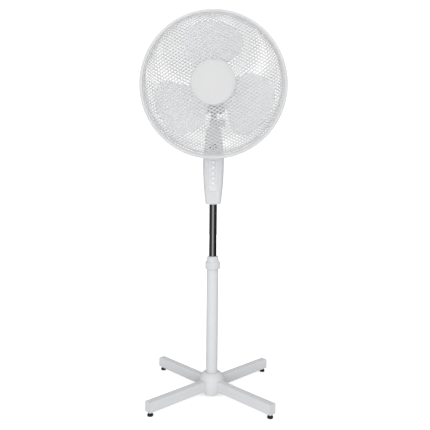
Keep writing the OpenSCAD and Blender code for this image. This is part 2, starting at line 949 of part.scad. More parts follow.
// The link from the crank pin to the pin on the neck
module link_arm() {
    span = [arm_length - crank_r, -crank_y];
    color(steel) translate([crank_r, crank_y, link_z]) difference() {
        linear_extrude(height = link_thick) {
            rotate([0, 0, atan2(span[1], span[0])]) translate([0, -3]) square([norm(span), 6]);
            circle(r = link_eye_r);
            translate(span) circle(r = link_eye_r);
        }
        translate([0, 0, -1]) cylinder(r = link_pin_r + running, h = link_thick + 2);
        translate([span[0], span[1], -1]) cylinder(r = open_eye_r, h = link_thick + 2);
    }
}

cross_tube_lower();
cross_tube_upper();
end_cap_1();
end_cap_2();
end_cap_3();
end_cap_4();
rubber_foot_1();
rubber_foot_2();
rubber_foot_3();
rubber_foot_4();
pole_socket();
base_fasteners();
base_cover();
outer_pole();
pole_sleeve();
grip_collet();
height_collar();
inner_pole();
pole_guide();
box_front();
box_back();
button_panel();
switch_block();
lamp_lens();
box_screws();
tilt_yoke();
cable_gland();
button_1();
button_2();
button_3();
button_4();
button_5();
tilt_knob();
neck_block();
swivel_bush();
swivel_screw();
gearbox_case();
gearbox_lid();
swivel_pin();
stator_core();
stator_windings();
motor_front_cover();
motor_rear_cover();
shaft_bushes();
housing_rear();
housing_front();
guard_nut();
rear_guard();
front_guard();
guard_ring();
badge();
rotor_shaft();
rotor_core();
fan_blade();
spinner();
oscillation_knob();
worm_wheel();
clutch_shaft();
crank_gear();
link_arm();
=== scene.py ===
"""Pedestal fan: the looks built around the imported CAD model, in metres."""
import json
import math

import bmesh
import bpy
from mathutils import Matrix, Vector


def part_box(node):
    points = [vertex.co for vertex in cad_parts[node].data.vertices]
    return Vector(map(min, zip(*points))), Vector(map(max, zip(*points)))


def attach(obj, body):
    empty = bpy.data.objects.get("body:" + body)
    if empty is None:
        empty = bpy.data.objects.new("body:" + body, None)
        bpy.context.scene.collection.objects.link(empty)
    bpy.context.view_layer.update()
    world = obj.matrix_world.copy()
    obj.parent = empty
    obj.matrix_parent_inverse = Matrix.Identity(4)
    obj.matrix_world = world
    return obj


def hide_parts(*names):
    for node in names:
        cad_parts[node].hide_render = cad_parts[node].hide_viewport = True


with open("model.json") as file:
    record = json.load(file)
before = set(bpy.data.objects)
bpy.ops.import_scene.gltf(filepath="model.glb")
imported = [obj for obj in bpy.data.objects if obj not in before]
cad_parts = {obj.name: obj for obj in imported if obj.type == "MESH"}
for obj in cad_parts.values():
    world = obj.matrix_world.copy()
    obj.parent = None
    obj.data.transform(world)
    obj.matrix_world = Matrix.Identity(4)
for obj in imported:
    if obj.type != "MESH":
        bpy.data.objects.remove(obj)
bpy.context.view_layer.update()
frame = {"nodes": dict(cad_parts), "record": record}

MM = 0.001
COLLECTION = bpy.context.scene.collection


# ---------------------------------------------------------------- places, from the frame
def middle(node):
    low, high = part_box(node)
    return (low + high) / 2


RING_LOW, RING_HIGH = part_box("guard_ring")
HUB_Z = (RING_LOW.z + RING_HIGH.z) / 2
RING_R = (RING_HIGH.x - RING_LOW.x) / 2
BOX_LOW, BOX_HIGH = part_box("box_front")
PANEL_LOW, PANEL_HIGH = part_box("button_panel")


# ---------------------------------------------------------------- camera
def camera():
    """The photograph's place: in front, a little above the fan's middle."""
    azimuth, pitch, roll = (math.radians(angle) for angle in (1.19, 3.84, 0.51))
    distance = 1.774
    height = 0.776
    forward = Vector((-math.sin(azimuth) * math.cos(pitch), math.cos(azimuth) * math.cos(pitch),
                      -math.sin(pitch)))
    level = Vector((math.cos(azimuth), math.sin(azimuth), 0))
    right = level * math.cos(roll) + level.cross(forward) * math.sin(roll)
    up = right.cross(forward)
    spot = Vector((math.sin(azimuth) * distance, -math.cos(azimuth) * distance, height))
    data = bpy.data.cameras.new("camera")
    data.sensor_width = 36
    data.sensor_fit = "HORIZONTAL"
    data.lens = 45.94
    data.shift_x = 0.0040
    data.shift_y = -0.0488
    data.clip_start = 0.05
    obj = bpy.data.objects.new("camera", data)
    turn = Matrix((right, up, -forward)).transposed()
    obj.matrix_world = Matrix.Translation(spot) @ turn.to_4x4()
    COLLECTION.objects.link(obj)
    bpy.context.scene.camera = obj


camera()


# ---------------------------------------------------------------- curves
def mm(pairs, r=0.0, h=0.0):
    """Pairs in millimetres as pairs in metres, counted from (r, h)."""
    return [(r + a * MM, h + b * MM) for a, b in pairs]


def spline(points, x):
    """The smooth curve through points (x, y), sorted by x, at one x."""
    if x <= points[0][0]:
        return points[0][1]
    if x >= points[-1][0]:
        return points[-1][1]
    i = max(k for k in range(len(points) - 1) if points[k][0] <= x)

    def slope(k):
        a, b = points[max(k - 1, 0)], points[min(k + 1, len(points) - 1)]
        return (b[1] - a[1]) / (b[0] - a[0])

    (x0, y0), (x1, y1) = points[i], points[i + 1]
    step = x1 - x0
    t = (x - x0) / step
    return ((2 * t ** 3 - 3 * t ** 2 + 1) * y0 + (t ** 3 - 2 * t ** 2 + t) * step * slope(i)
            + (3 * t ** 2 - 2 * t ** 3) * y1 + (t ** 3 - t ** 2) * step * slope(i + 1))


def curve_through(points, steps=8):
    """A smooth curve through points in the plane, as a longer list of points."""
    found = []
    last = len(points) - 1
    for i in range(last):
        a, b, c, d = (Vector(points[min(max(i + k, 0), last)]) for k in (-1, 0, 1, 2))
        for s in range(steps):
            t = s / steps
            found.append(0.5 * (2 * b + (c - a) * t + (2 * a - 5 * b + 4 * c - d) * t ** 2
                                + (3 * b - a - 3 * c + d) * t ** 3))
    found.append(Vector(points[last]))
    return found


def rounded(profile, radius, steps=4, closed=True):
    """The profile with each corner cut back and replaced by a short curve."""
    found = []
    count = len(profile)
    for i, point in enumerate(profile):
        here = Vector(point)
        if not closed and i in (0, count - 1):
            found.append(here)
            continue
        before, after = Vector(profile[i - 1]), Vector(profile[(i + 1) % count])
        a, b = before - here, after - here
        cut = min(radius, 0.45 * a.length, 0.45 * b.length)
        start, end = here + a.normalized() * cut, here + b.normalized() * cut
        for s in range(steps + 1):
            t = s / steps
            found.append(start * (1 - t) ** 2 + 2 * here * t * (1 - t) + end * t ** 2)
    return found


def along_z(x=0.0, y=0.0):
    """Where (radius, height, angle) is for a shape turned about an upright axis."""
    return lambda r, h, a: Vector((x + r * math.cos(a), y + r * math.sin(a), h))


def along_y(x=0.0, z=None):
    """The same about an axis along y; the height is then the y coordinate."""
    z = HUB_Z if z is None else z
    return lambda r, h, a: Vector((x + r * math.cos(a), h, z + r * math.sin(a)))


def along_x(y=0.0, z=0.0):
    return lambda r, h, a: Vector((h, y + r * math.cos(a), z + r * math.sin(a)))


# ---------------------------------------------------------------- meshes
class Shape:
    """Points and faces gathered for one piece."""

    def __init__(self):
        self.points = []
        self.faces = []

    def rows(self, rows, close=False, ends=False):
        """Faces between rows of points. close joins the last row to the first, ends each row's ends."""
        start = len(self.points)
        width = len(rows[0])
        for row in rows:
            self.points.extend(row)
        for i in range(len(rows) if close else len(rows) - 1):
            for j in range(width if ends else width - 1):
                a, b = start + i * width, start + (i + 1) % len(rows) * width
                k = (j + 1) % width
                self.faces.append((a + j, a + k, b + k, b + j))
        return self

    def solid(self, rows, ends=True):
        """Faces between rows, with the first and the last row filled in."""
        start, width = len(self.points), len(rows[0])
        self.rows(rows, ends=ends)
        top = start + (len(rows) - 1) * width
        self.faces.append(tuple(start + k for k in range(width)))
        self.faces.append(tuple(top + k for k in reversed(range(width))))
        return self

    def turned(self, profile, place, segments=96, closed=True, wave=None):
        """A turned shape. wave(r, h, angle) may move the radius, for flutes and lobes."""
        rows = []
        for r, h in profile:
            row = []
            for i in range(segments):
                angle = 2 * math.pi * i / segments
                row.append(place(wave(r, h, angle) if wave else r, h, angle))
            rows.append(row)
        return self.rows(rows, close=closed, ends=True)

    def strand(self, points, normals, width, thick):
        """A flat wire with six sides along points."""
        section = [(0.5, 0), (0.28, 0.5), (-0.28, 0.5), (-0.5, 0), (-0.28, -0.5), (0.28, -0.5)]
        rows = []
        last = len(points) - 1
        for i, point in enumerate(points):
            tangent = (points[min(i + 1, last)] - points[max(i - 1, 0)]).normalized()
            side = tangent.cross(normals[i]).normalized()
            rows.append([point + side * (a * width) + normals[i] * (b * thick) for a, b in section])
        return self.solid(rows)

    def object(self, name, merge=1e-6):
        mesh = bpy.data.meshes.new(name)
        mesh.from_pydata([tuple(p) for p in self.points], [], self.faces)
        shape = bmesh.new()
        shape.from_mesh(mesh)
        bmesh.ops.remove_doubles(shape, verts=shape.verts, dist=merge)
        bmesh.ops.dissolve_degenerate(shape, edges=shape.edges, dist=merge / 10)
        bmesh.ops.recalc_face_normals(shape, faces=shape.faces)
        shape.to_mesh(mesh)
        shape.free()
        obj = bpy.data.objects.new(name, mesh)
        COLLECTION.objects.link(obj)
        return obj


def block(name, low, high):
    """A box-shaped cutter."""
    shape = Shape()
    corners = [[Vector((x, y, z)) for x, y in
                ((low[0], low[1]), (high[0], low[1]), (high[0], high[1]), (low[0], high[1]))]
               for z in (low[2], high[2])]
    shape.rows(corners, ends=True)
    shape.faces += [(3, 2, 1, 0), (4, 5, 6, 7)]
    return shape.object(name)


def rod(name, radius, start, end, place, segments=48):
    """A round cutter."""
    profile = [(0, start), (radius, start), (radius, end), (0, end)]
    return Shape().turned(profile, place, segments, closed=False).object(name)


def settle(obj):
    """Applies the modifiers of a piece of this script."""
    bpy.context.view_layer.update()
    graph = bpy.context.evaluated_depsgraph_get()
    mesh = bpy.data.meshes.new_from_object(obj.evaluated_get(graph))
    obj.modifiers.clear()
    obj.data = mesh


def carve(obj, cutters, operation="DIFFERENCE"):
    """Cuts the cutters out of obj, or keeps only what is inside them."""
    for cutter in cutters:
        cut = obj.modifiers.new("cut", "BOOLEAN")
        cut.operation = operation
        cut.solver = "EXACT"
        cut.object = cutter
    settle(obj)
    for cutter in cutters:
        bpy.data.objects.remove(cutter)


def soften(obj, width, segments=2, angle=35):
    """Rounds the edges that are sharper than the angle."""
    edge = obj.modifiers.new("edges", "BEVEL")
    edge.limit_method = "ANGLE"
    edge.angle_limit = math.radians(angle)
    edge.width = width
    edge.segments = segments
    edge.use_clamp_overlap = True
    settle(obj)


def place(obj, body, slot, *nodes, look=None, sharp=40):
    """Gives a finished piece its look, its body and the CAD nodes it stands for."""
    obj.data.materials.clear()
    obj.data.materials.append(look or MATERIALS[slot])
    obj.data.shade_smooth()
    obj.data.set_sharp_from_angle(angle=math.radians(sharp))
    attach(obj, body)
    if nodes:
        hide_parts(*nodes)
    return obj


# ---------------------------------------------------------------- materials
def mix(tree, factor, first, second, blend="MIX"):
    """A colour mixing node. Each input is an earlier output, a number or a colour."""
    node = tree.nodes.new("ShaderNodeMix")
    node.data_type = "RGBA"
    node.blend_type = blend
    for socket, value in (("Factor", factor), (6, first), (7, second)):
        if isinstance(value, bpy.types.NodeSocket):
            tree.links.new(value, node.inputs[socket])
        else:
            node.inputs[socket].default_value = (*value, 1) if isinstance(value, tuple) else value
    return node.outputs[2]


class Finish:
    """A material made of nodes, around one Principled shader."""

    def __init__(self, name, roughness, **sockets):
        self.material = bpy.data.materials.new(name)
        self.material.use_nodes = True
        self.nodes = self.material.node_tree.nodes
        self.links = self.material.node_tree.links
        self.shader = self.nodes["Principled BSDF"]
        self.shader.inputs["Roughness"].default_value = roughness
        for socket, value in sockets.items():
            self.shader.inputs[socket.replace("_", " ")].default_value = value
        self.coordinates = self.nodes.new("ShaderNodeTexCoord")
        self.last_normal = None

    def coordinate(self, stretch=(1, 1, 1)):
        """Object coordinates, pulled out along an axis where stretch is below 1."""
        mapping = self.nodes.new("ShaderNodeMapping")
        mapping.inputs["Scale"].default_value = stretch
        self.links.new(self.coordinates.outputs["Object"], mapping.inputs["Vector"])
        return mapping.outputs["Vector"]

    def texture(self, kind, stretch=(1, 1, 1), **numbers):
        node = self.nodes.new(kind)
        for socket, number in numbers.items():
            node.inputs[socket].default_value = number
        self.links.new(self.coordinate(stretch), node.inputs["Vector"])
        return node

    def noise(self, scale, detail=3.0, roughness=0.5, stretch=(1, 1, 1)):
        return self.texture("ShaderNodeTexNoise", stretch, Scale=scale, Detail=detail,
                            Roughness=roughness).outputs["Fac"]

    def cells(self, scale):
        return self.texture("ShaderNodeTexVoronoi", Scale=scale).outputs["Distance"]

    def bands(self, scale, distortion=0.0):
        """Bands that follow one another along y."""
        node = self.texture("ShaderNodeTexWave", Scale=scale, Distortion=distortion)
        node.bands_direction = "Y"
        return node.outputs["Fac"]

    def spread(self, value, low, high, start=0.0, end=1.0):
        """A value between start and end, mapped to low and high."""
        node = self.nodes.new("ShaderNodeMapRange")
        for socket, number in (("From Min", start), ("From Max", end), ("To Min", low), ("To Max", high)):
            node.inputs[socket].default_value = number
        self.links.new(value, node.inputs["Value"])
        return node.outputs["Result"]

    def mixed(self, value, first, second):
        return mix(self.material.node_tree, value, first, second)

    def color(self, output):
        self.links.new(output, self.shader.inputs["Base Color"])
        return self

    def roughness(self, value, low, high, start=0.3, end=0.7):
        self.links.new(self.spread(value, low, high, start, end), self.shader.inputs["Roughness"])
        return self

    def relief(self, height, depth, strength=0.6):
        """Bump of about depth metres; a second call lies on the first."""
        node = self.nodes.new("ShaderNodeBump")
        node.inputs["Strength"].default_value = strength
        node.inputs["Distance"].default_value = depth
        self.links.new(height, node.inputs["Height"])
        if self.last_normal:
            self.links.new(self.last_normal, node.inputs["Normal"])
        self.last_normal = node.outputs["Normal"]
        self.links.new(self.last_normal, self.shader.inputs["Normal"])
        return self


def shade(color, factor):
    return tuple(min(1.0, c * factor) for c in color)


WHITE = (0.70, 0.708, 0.722)


def powder_coat():
    """Satin white paint on steel: orange peel, a few dull rubs and faint dust."""
    f = Finish("powder_coat", 0.34, Coat_Weight=0.15, Coat_Roughness=0.25)
    broad = f.noise(14, 4)
    dust = f.spread(f.noise(160, 5, 0.7), 0, 0.35, 0.56, 0.72)
    base = f.mixed(broad, shade(WHITE, 0.965), shade(WHITE, 1.005))
    f.color(f.mixed(dust, base, shade((0.70, 0.68, 0.64), 0.93)))
    f.roughness(f.noise(45, 4), 0.28, 0.42)
    f.relief(f.noise(620, 2), 0.00012, 0.35)
    return f.relief(f.noise(2600, 2), 0.00003, 0.3).material


def moulded_white():
    """Semi-gloss white plastic with a fine spark-eroded grain."""
    f = Finish("moulded_white", 0.36, IOR=1.48)
    broad = f.noise(22, 3)
    speck = f.spread(f.noise(900, 2), 0, 0.25, 0.62, 0.75)
    base = f.mixed(broad, shade(WHITE, 0.945), shade(WHITE, 0.985))
    f.color(f.mixed(speck, base, shade(WHITE, 0.89)))
    f.roughness(f.noise(60, 3), 0.30, 0.44)
    f.relief(f.noise(3400, 2), 0.00003, 0.45)
    return f.relief(f.noise(28, 2), 0.0004, 0.06).material


def blade_plastic():
    """Pale grey translucent blades with faint flow lines from the hub."""
    tone = (0.87, 0.877, 0.888)
    f = Finish("blade_plastic", 0.3, IOR=1.5, Subsurface_Weight=0.1, Subsurface_Scale=0.004,
               Subsurface_Radius=(1, 1, 1))
    broad = f.noise(9, 4)
    flow = f.noise(26, 4, 0.6, (1, 0.2, 1))
    base = f.mixed(broad, shade(tone, 0.975), shade(tone, 1.015))
    f.color(f.mixed(f.spread(flow, 0, 0.3, 0.5, 0.8), base, shade(tone, 0.95)))
    f.roughness(flow, 0.24, 0.38)
    return f.relief(f.noise(1900, 2), 0.00002, 0.3).material


def chrome():
    """Bright plated steel: fine drawn lines round the tube and soft smudges."""
    f = Finish("chrome", 0.07, Metallic=1.0)
    tone = (0.62, 0.64, 0.66)
    f.color(f.mixed(f.noise(20, 4), shade(tone, 0.94), shade(tone, 1.05)))
    smudge = f.noise(26, 5, 0.65, (1, 1, 0.35))
    f.roughness(smudge, 0.045, 0.13)
    f.relief(f.noise(900, 2, 0.5, (0.04, 0.04, 1)), 0.00001, 0.25)
    return f.relief(f.noise(60, 2), 0.00005, 0.04).material


def rubber():
    """Matt black rubber with a little dust in it."""
    f = Finish("rubber", 0.78)
    dust = f.spread(f.noise(300, 4, 0.7), 0, 1, 0.5, 0.75)
    f.color(f.mixed(dust, (0.016, 0.017, 0.018), (0.06, 0.058, 0.054)))
    f.roughness(f.noise(110, 3), 0.68, 0.9)
    return f.relief(f.noise(1400, 3), 0.00012, 0.6).material


def zinc_steel():
    """Zinc-plated steel with its spangle and fine turning marks."""
    f = Finish("zinc_steel", 0.32, Metallic=1.0)
    f.color(f.mixed(f.cells(420), (0.50, 0.51, 0.53), (0.64, 0.65, 0.66)))
    f.roughness(f.noise(240, 4), 0.24, 0.42)
    return f.relief(f.noise(1500, 2, 0.5, (1, 1, 6)), 0.00003, 0.4).material


def lamination():
    """A stack of thin steel sheets, seen edge on along the fan's axis."""
    f = Finish("lamination", 0.45, Metallic=1.0)
    sheets = f.bands(320)
    f.color(f.mixed(sheets, (0.20, 0.20, 0.21), (0.38, 0.38, 0.39)))
    f.roughness(f.noise(300, 3), 0.38, 0.56)
    return f.relief(sheets, 0.0002, 0.5).material


def winding():
    """Enamelled copper wire wound round the axis."""
    f = Finish("winding", 0.25, Metallic=0.7, Coat_Weight=0.6, Coat_Roughness=0.1)
    wires = f.bands(260, 1.5)
    f.color(f.mixed(wires, (0.22, 0.08, 0.03), (0.62, 0.27, 0.11)))
    f.roughness(f.noise(180, 3), 0.2, 0.34)
    return f.relief(wires, 0.0003, 0.7).material


def smoked_lens():
    """The little lamp's frosted grey lens."""
    f = Finish("smoked_lens", 0.16, IOR=1.5, Coat_Weight=0.5, Coat_Roughness=0.08)
    f.color(f.mixed(f.noise(240, 3), (0.42, 0.43, 0.45), (0.52, 0.53, 0.55)))
    f.roughness(f.noise(160, 3), 0.12, 0.22)
    return f.relief(f.cells(700), 0.0001, 0.3).material


def plain(name, gloss, tones, spots, rough, grain, **sockets):
    """A material with one noise each for colour, roughness and relief.

    spots is a noise, rough a noise with its two bounds, grain a noise with its depth and strength.
    """
    f = Finish(name, gloss, **sockets)
    f.color(f.mixed(f.noise(*spots), *tones))
    f.roughness(f.noise(*rough[:-2]), *rough[-2:])
    return f.relief(f.noise(*grain[:-2]), *grain[-2:]).material


def shades(tone, low, high):
    return shade(tone, low), shade(tone, high)


GUARD_TONE = (0.705, 0.707, 0.714)
BADGE_TONE = (0.645, 0.647, 0.652)
MATERIALS = {
    "white_paint": powder_coat(), "white_plastic": moulded_white(), "rubber": rubber(),
    "steel": zinc_steel(), "chrome": chrome(), "lens": smoked_lens(), "lamination": lamination(),
    "winding": winding(), "blade_plastic": blade_plastic(),
    # The keys' white is brighter than the shell's white: a painted highlight that stands in for the light on
    # their raised faces.
    "button_plastic": plain("button_white_painted_highlight", 0.2, shades(WHITE, 1.12, 1.16), (120, 3),
                            (260, 3, 0.14, 0.28), (2200, 2, 0.00002, 0.35),
                            IOR=1.49, Coat_Weight=0.3, Coat_Roughness=0.12),
    "inner_plastic": plain("inner_plastic", 0.55, ((0.30, 0.30, 0.31), (0.36, 0.36, 0.37)), (60, 3),
                           (80, 3, 0.48, 0.62), (1800, 2, 0.00005, 0.5)),
    "guard_mesh": plain("guard_coat", 0.38, shades(GUARD_TONE, 0.96, 1.03), (30, 4),
                        (420, 3, 0.30, 0.46), (850, 3, 0.00012, 0.4), IOR=1.46),
    "badge": plain("badge_satin", 0.33, shades(BADGE_TONE, 0.985, 1.02), (18, 3),
                   (30, 2, 0.3, 0.38), (1500, 2, 0.00002, 0.3),
                   IOR=1.48, Coat_Weight=0.2, Coat_Roughness=0.2),
    "cast_alloy": plain("cast_alloy", 0.48, ((0.52, 0.53, 0.54), (0.66, 0.66, 0.67)), (90, 4),
                        (200, 4, 0.4, 0.6), (700, 4, 0.7, 0.0002, 0.5), Metallic=1.0),
    "bronze": plain("bronze", 0.4, ((0.36, 0.22, 0.10), (0.56, 0.38, 0.20)), (700, 4, 0.7),
                    (500, 3, 0.32, 0.5), (1800, 3, 0.00006, 0.5), Metallic=1.0),
    "nylon": plain("nylon", 0.42, ((0.70, 0.66, 0.54), (0.76, 0.73, 0.62)), (70, 3),
                   (150, 3, 0.36, 0.5), (1500, 2, 0.00004, 0.4),
                   Subsurface_Weight=0.25, Subsurface_Scale=0.004, Subsurface_Radius=(1, 1, 1))}
# The panel's white is brighter than the shell's white: painted light that offsets the guard's shadow on the
# box's upper face.
PANEL = plain("panel_white_painted_light", 0.28, shades(WHITE, 1.01, 1.05), (35, 3),
              (90, 3, 0.22, 0.34), (4200, 2, 0.00002, 0.4), IOR=1.48)
BEZEL = plain("bezel_grey", 0.3, ((0.045, 0.045, 0.05), (0.07, 0.07, 0.075)), (300, 3),
              (200, 3, 0.24, 0.38), (2400, 2, 0.00003, 0.4))


def dress_cad_nodes():
    """Every CAD node takes the material of its slot."""
    for part in frame["record"]["subparts"]:
        node = frame["nodes"][part["node"]]
        node.data.materials.clear()
        node.data.materials.append(MATERIALS[part["material_slot"]])


dress_cad_nodes()


# ---------------------------------------------------------------- stand
def tube(name, node, body, slot, wall, corner, segments):
    """A plain tube with rolled ends, in its node's place."""
    low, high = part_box(node)
    bore = high.x - wall
    profile = rounded([(bore, low.z), (high.x, low.z), (high.x, high.z), (bore, high.z)], corner)
    place(Shape().turned(profile, along_z(), segments).object(name), body, slot, node)


def base_cover():
    """The dome over the cross, with a soft shoulder and slots for the legs."""
    low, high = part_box("base_cover")
    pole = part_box("outer_pole")[1].x
    leg_half = 13.3 * MM
    leg_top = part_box("cross_tube_upper")[1].z + 0.3 * MM
    wall = 2.2 * MM
    edge = high.x
    shoulder = low.z + 20 * MM
    crown = 21 * MM
    dome = [(crown + (edge - crown) * math.cos(t), shoulder + (high.z - shoulder) * math.sin(t))
            for t in (math.radians(5 * k) for k in range(19))]
    outer = [(edge, low.z), *dome, (pole + 0.3 * MM, high.z)]
    inner = [(pole + 0.3 * MM, high.z - wall)] + [(r - wall, h - wall) for r, h in reversed(dome)]
    profile = rounded(outer + inner + [(edge - wall, low.z)], 0.5 * MM, 2)
    obj = Shape().turned(profile, along_z(), 144).object("base_cover_dome")
    slots = []
    for turn in (45, -45):
        slot = block("slot", (-60 * MM, -leg_half, -10 * MM), (60 * MM, leg_half, leg_top))
        slot.matrix_world = Matrix.Rotation(math.radians(turn), 4, "Z")
        slots.append(slot)
    carve(obj, slots)
    soften(obj, 0.4 * MM)
    place(obj, "stand", "white_plastic", "base_cover")


def feet():
    """Rubber feet with two grip rings."""
    for k in range(1, 5):
        low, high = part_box(f"rubber_foot_{k}")
        x, y = (low.x + high.x) / 2, (low.y + high.y) / 2
        radius = (high.x - low.x) / 2
        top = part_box("cross_tube_lower")[0].z
        side = mm([(-2.2, 0), (-1.2, 0.5), (-0.3, 0.8), (0, 2), (0, 3.2), (-0.7, 3.7), (0, 4.3), (-0.3, 6),
                   (-2, 7.8)], radius)
        profile = [(0, 0), *side, (radius - 2.2 * MM, top), (0, top)]
        obj = Shape().turned(profile, along_z(x, y), 64, closed=False).object(f"foot_pad_{k}")
        place(obj, "stand", "rubber", f"rubber_foot_{k}")


def collar():
    """The height collar: a grip band with shallow flutes and a ribbed cone."""
    low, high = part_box("height_collar")
    radius = (high.x - low.x) / 2
    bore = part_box("inner_pole")[1].x + 0.4 * MM
    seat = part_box("outer_pole")[1].x + 0.4 * MM
    z = low.z
    band_top = z + 22.5 * MM
    profile = rounded([
        (seat, z), (radius - 0.8 * MM, z), (radius, z + 2 * MM), (radius, z + 20 * MM),
        (radius - 0.8 * MM, band_top), (20.2 * MM, z + 24.5 * MM), (19.9 * MM, z + 27 * MM),
        (17.9 * MM, high.z - 2 * MM), (17.2 * MM, high.z), (bore, high.z), (bore, z + 34 * MM),
        (seat, z + 20 * MM)], 1.1 * MM, 4)

    def flutes(r, h, angle):
        if z + 3 * MM < h < z + 19 * MM and r > radius - 0.2 * MM:
            rise = math.sin(math.pi * (h - z - 3 * MM) / (16 * MM))
            return r - 0.8 * MM * rise ** 0.5 * max(0, math.cos(24 * angle)) ** 2
        if z + 26 * MM < h < high.z - 1 * MM and r > 17.3 * MM:
            return r - 0.45 * MM * max(0, math.cos(24 * angle + math.pi)) ** 2
        return r

    rings = []
    for (r0, h0), (r1, h1) in zip(profile, profile[1:] + profile[:1]):
        pieces = max(1, round(abs(h1 - h0) / (1.5 * MM)))
        rings += [(r0 + (r1 - r0) * s / pieces, h0 + (h1 - h0) * s / pieces) for s in range(pieces)]
    obj = Shape().turned(rings, along_z(), 240, wave=flutes).object("collar_shell")
    place(obj, "collar", "white_plastic", "height_collar")


tube("outer_pole_tube", "outer_pole", "stand", "white_paint", 1.5 * MM, 0.9 * MM, 128)
base_cover()
feet()
collar()


# ---------------------------------------------------------------- control box
BOX_TALL = BOX_HIGH.z - BOX_LOW.z
# Height above the box's bottom, as a share of its height, against half width, front and back depth
BOX_WIDTH = [(0, 22.8), (0.006, 24.2), (0.02, 24.9), (0.139, 28.2), (0.233, 30.4), (0.352, 32.2),
             (0.47, 33.1), (0.54, 33.2), (0.65, 31.9), (0.736, 30.2), (0.879, 27), (0.965, 23.9),
             (0.99, 22.4), (1, 20)]
BOX_FRONT = [(0, 25), (0.006, 26.8), (0.02, 28.2), (0.139, 32), (0.233, 33), (0.65, 33), (0.736, 30.5),
             (0.879, 26), (0.965, 22.6), (0.99, 21.2), (1, 19)]
BOX_REAR = [(0, 21), (0.006, 22.8), (0.02, 24), (0.139, 28), (0.233, 30), (0.352, 32), (0.5, 33), (0.65, 33),
            (0.736, 32), (0.879, 28), (0.965, 24.2), (0.99, 22.5), (1, 20)]
SQUARENESS = 4.6
BOX_WALL = 2.4 * MM
SEAM_DEPTH, SEAM_GAP, SEAM_WIDTH = 0.35 * MM, 0.05 * MM, 0.9 * MM
# Cutters that go right through the front, or the back, start this far out
FAR_FRONT, FAR_BACK = -60 * MM, 60 * MM


def box_edge(z, depth):
    """(half width, depth) of the box at a height."""
    share = (z - BOX_LOW.z) / BOX_TALL
    return spline(BOX_WIDTH, share) * MM, spline(depth, share) * MM


def box_front_y(x, z):
    """How far forward the front face is at (x, z)."""
    width, depth = box_edge(z, BOX_FRONT)
    return -depth * max(0.0, 1 - abs(x / width) ** SQUARENESS) ** (1 / SQUARENESS)


def box_heights():
    """Rows close together near both ends, where the box curves in."""
    shares = [0, 0.003, 0.008, 0.016, 0.03, 0.05]
    shares += [0.05 + 0.90 * k / 44 for k in range(1, 44)]
    shares += [0.95, 0.965, 0.98, 0.99, 0.996, 1]
    return [BOX_LOW.z + BOX_TALL * share for share in shares]


def box_half(name, depth, sign):
    """One closed half shell, with a small groove where it meets the other half."""
    rows = []
    count = 48
    for z in box_heights():
        width, reach = box_edge(z, depth)
        row = []
        for k in range(count + 1):
            angle = math.pi * k / count
            c, s = math.cos(angle), math.sin(angle)
            x = math.copysign(abs(c) ** (2 / SQUARENESS), c) * width
            y = abs(s) ** (2 / SQUARENESS) * reach
            row.append(Vector((x, sign * y, z)))
        for end, beside, inward in ((0, 1, -SEAM_DEPTH), (-1, -2, SEAM_DEPTH)):
            row[end] += Vector((inward, sign * SEAM_GAP, 0))
            row[beside].y = sign * max(abs(row[beside].y), SEAM_WIDTH)
        rows.append(row)
    obj = Shape().solid(rows, ends=False).object(name)
    wall = obj.modifiers.new("wall", "SOLIDIFY")
    wall.thickness = BOX_WALL
    wall.offset = -1
    wall.use_even_offset = False
    settle(obj)
    return obj


def punch(name, outline, front, back):
    """A cutter with this outline, straight along y from front to back."""
    rows = [[Vector((x, y, z)) for x, z in outline] for y in (front, back)]
    return Shape().solid(rows).object(name)


def window(name, half, low, high, corner, front, back):
    """A cutter with rounded corners."""
    outline = rounded([(-half, low), (half, low), (half, high), (-half, high)], corner, 8)
    return punch(name, outline, front, back)


def oval(width, height, grow=0.0, count=64):
    """A racetrack outline round the lamp's middle."""
    radius = height / 2 + grow
    reach = (width - height) / 2
    points = []
    for k in range(count):
        angle = 2 * math.pi * k / count
        side = math.copysign(reach, math.cos(angle)) if abs(math.cos(angle)) > 1e-9 else 0
        points.append((side + radius * math.cos(angle), radius * math.sin(angle)))
    return points


BUTTON_R = 6.5 * MM
PANEL_PROUD = 0.3 * MM
PANEL_HALF = (PANEL_HIGH.x - PANEL_LOW.x) / 2 - 3 * MM
PANEL_Z = (PANEL_LOW.z + 3 * MM, PANEL_HIGH.z - 3 * MM)
LAMP = middle("lamp_lens")
LAMP_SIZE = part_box("lamp_lens")[1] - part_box("lamp_lens")[0]


def box_end_cutters():
    """Cutters for the pole's sleeve below and the neck's fork above."""
    slot_x, slot_y, past = 14.3 * MM, 11.3 * MM, 20 * MM
    return [rod("sleeve_hole", 16.7 * MM, BOX_LOW.z - past, BOX_LOW.z + 6 * MM, along_z()),
            block("ear_hole", (-slot_x, -slot_y, BOX_HIGH.z - 8 * MM), (slot_x, slot_y, BOX_HIGH.z + past))]


